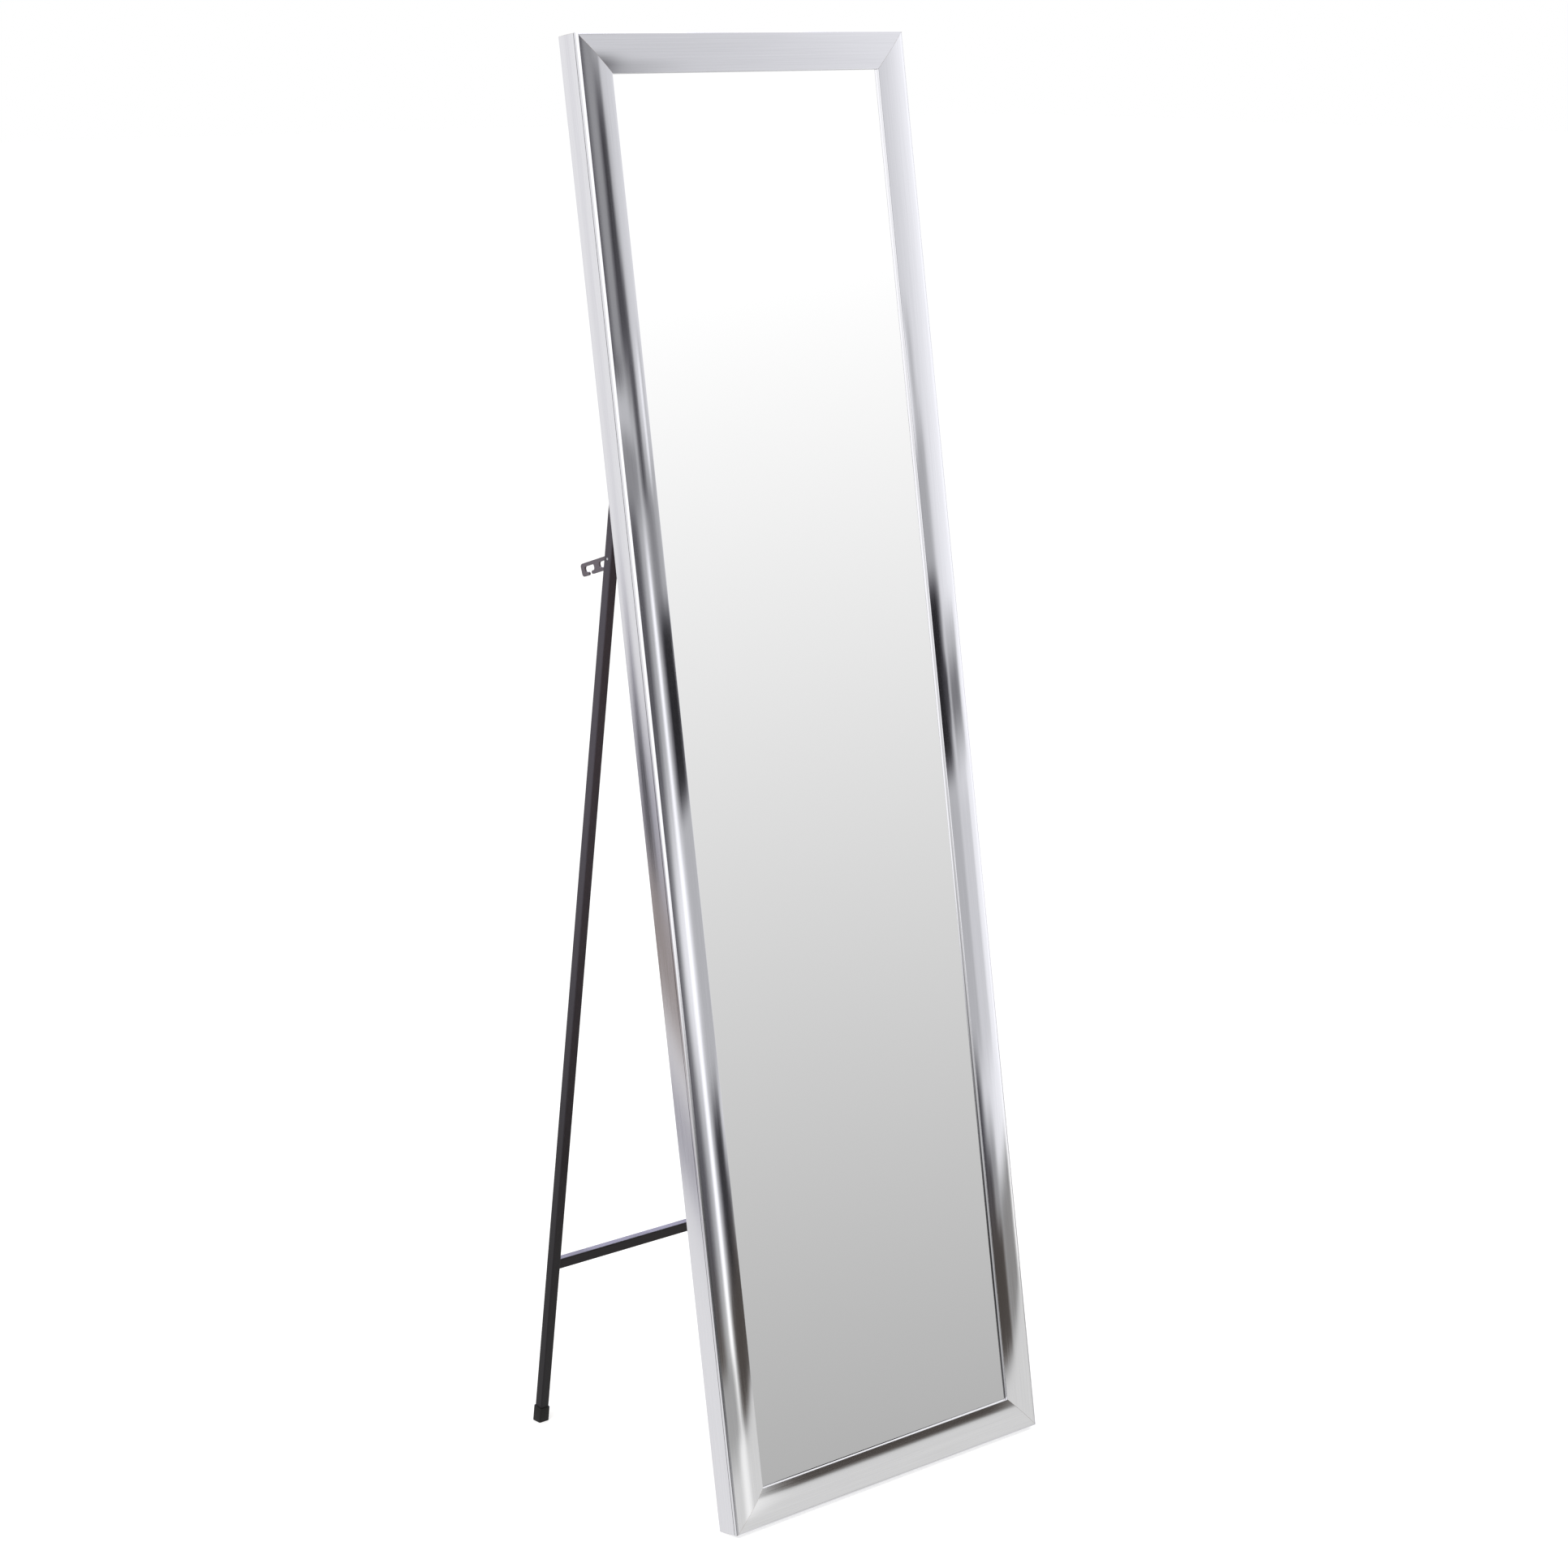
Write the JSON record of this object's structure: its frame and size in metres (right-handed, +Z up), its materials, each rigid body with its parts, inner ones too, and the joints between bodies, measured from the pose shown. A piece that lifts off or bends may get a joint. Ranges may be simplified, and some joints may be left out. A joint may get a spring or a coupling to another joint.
{
  "type": "floor mirror",
  "caption": "Tall narrow floor mirror in a mitred silver frame, leaning back on a folding two-legged steel stand that slotted stays lock open.",
  "frame": {"origin": "on the floor, under the middle of the whole object's bounding box, mirror leaning back as it stands", "axes": "+X across the mirror, +Y from the glass to the back where the stand's feet are, +Z up; the glass faces -Y"},
  "size_m": [0.4, 0.3566, 1.387],
  "materials": {
    "silver_foil": "smooth satin silver foil over a wooden moulding",
    "mirror": "silvered float glass",
    "card": "plain brown card",
    "hardboard": "plain brown hardboard",
    "zinc": "bright zinc plate",
    "black_steel": "satin black enamel",
    "black_plastic": "matt black moulding",
    "nylon": "plain white nylon"
  },
  "bodies": {
    "mirror": {"frame_rail_top": "silver_foil", "frame_rail_bottom": "silver_foil", "frame_rail_left": "silver_foil", "frame_rail_right": "silver_foil", "mirror_glass": "mirror", "card_sheet": "card", "back_board": "hardboard", "framing_points": "zinc", "corner_plate_top_left": "zinc", "corner_plate_top_right": "zinc", "corner_plate_bottom_left": "zinc", "corner_plate_bottom_right": "zinc", "corner_screws": "zinc", "hinge_bracket_left": "black_steel", "hinge_bracket_right": "black_steel", "hinge_screws": "zinc", "pivot_bolt_left": "zinc", "pivot_bolt_right": "zinc", "lock_nut_left": "zinc", "lock_nut_right": "zinc", "nylon_washers": "nylon", "stay_bracket_left": "black_steel", "stay_bracket_right": "black_steel", "stay_bracket_screws": "zinc", "stay_rivet_left": "zinc", "stay_rivet_right": "zinc"},
    "stand": {"stand_leg_left": "black_steel", "stand_leg_right": "black_steel", "stand_crossbar": "black_steel", "leg_plug_left": "black_plastic", "leg_plug_right": "black_plastic", "stay_pin_left": "zinc", "stay_pin_right": "zinc", "foot_cap_left": "black_plastic", "foot_cap_right": "black_plastic"},
    "stay_left": {"stay_left": "black_steel"},
    "stay_right": {"stay_right": "black_steel"}
  },
  "joints": [
    {"name": "stand_fold", "type": "hinge", "parent": "mirror", "child": "stand", "pos_m": [0, 0.01972, 1.03255], "axis": [1, 0, 0], "range_deg": [-17.3, 0]},
    {"name": "stay_left_lift", "type": "hinge", "parent": "mirror", "child": "stay_left", "pos_m": [-0.1602, 0.00031, 0.91894], "axis": [1, 0, 0], "range_deg": [0, 99.3]},
    {"name": "stay_right_lift", "type": "hinge", "parent": "mirror", "child": "stay_right", "pos_m": [0.1602, 0.00031, 0.91894], "axis": [1, 0, 0], "range_deg": [0, 99.3]}
  ],
  "couplings": [
    {"joint": "stay_left_lift", "follows": "stand_fold", "ratio": -5.734},
    {"joint": "stay_right_lift", "follows": "stand_fold", "ratio": -5.734}
  ]
}
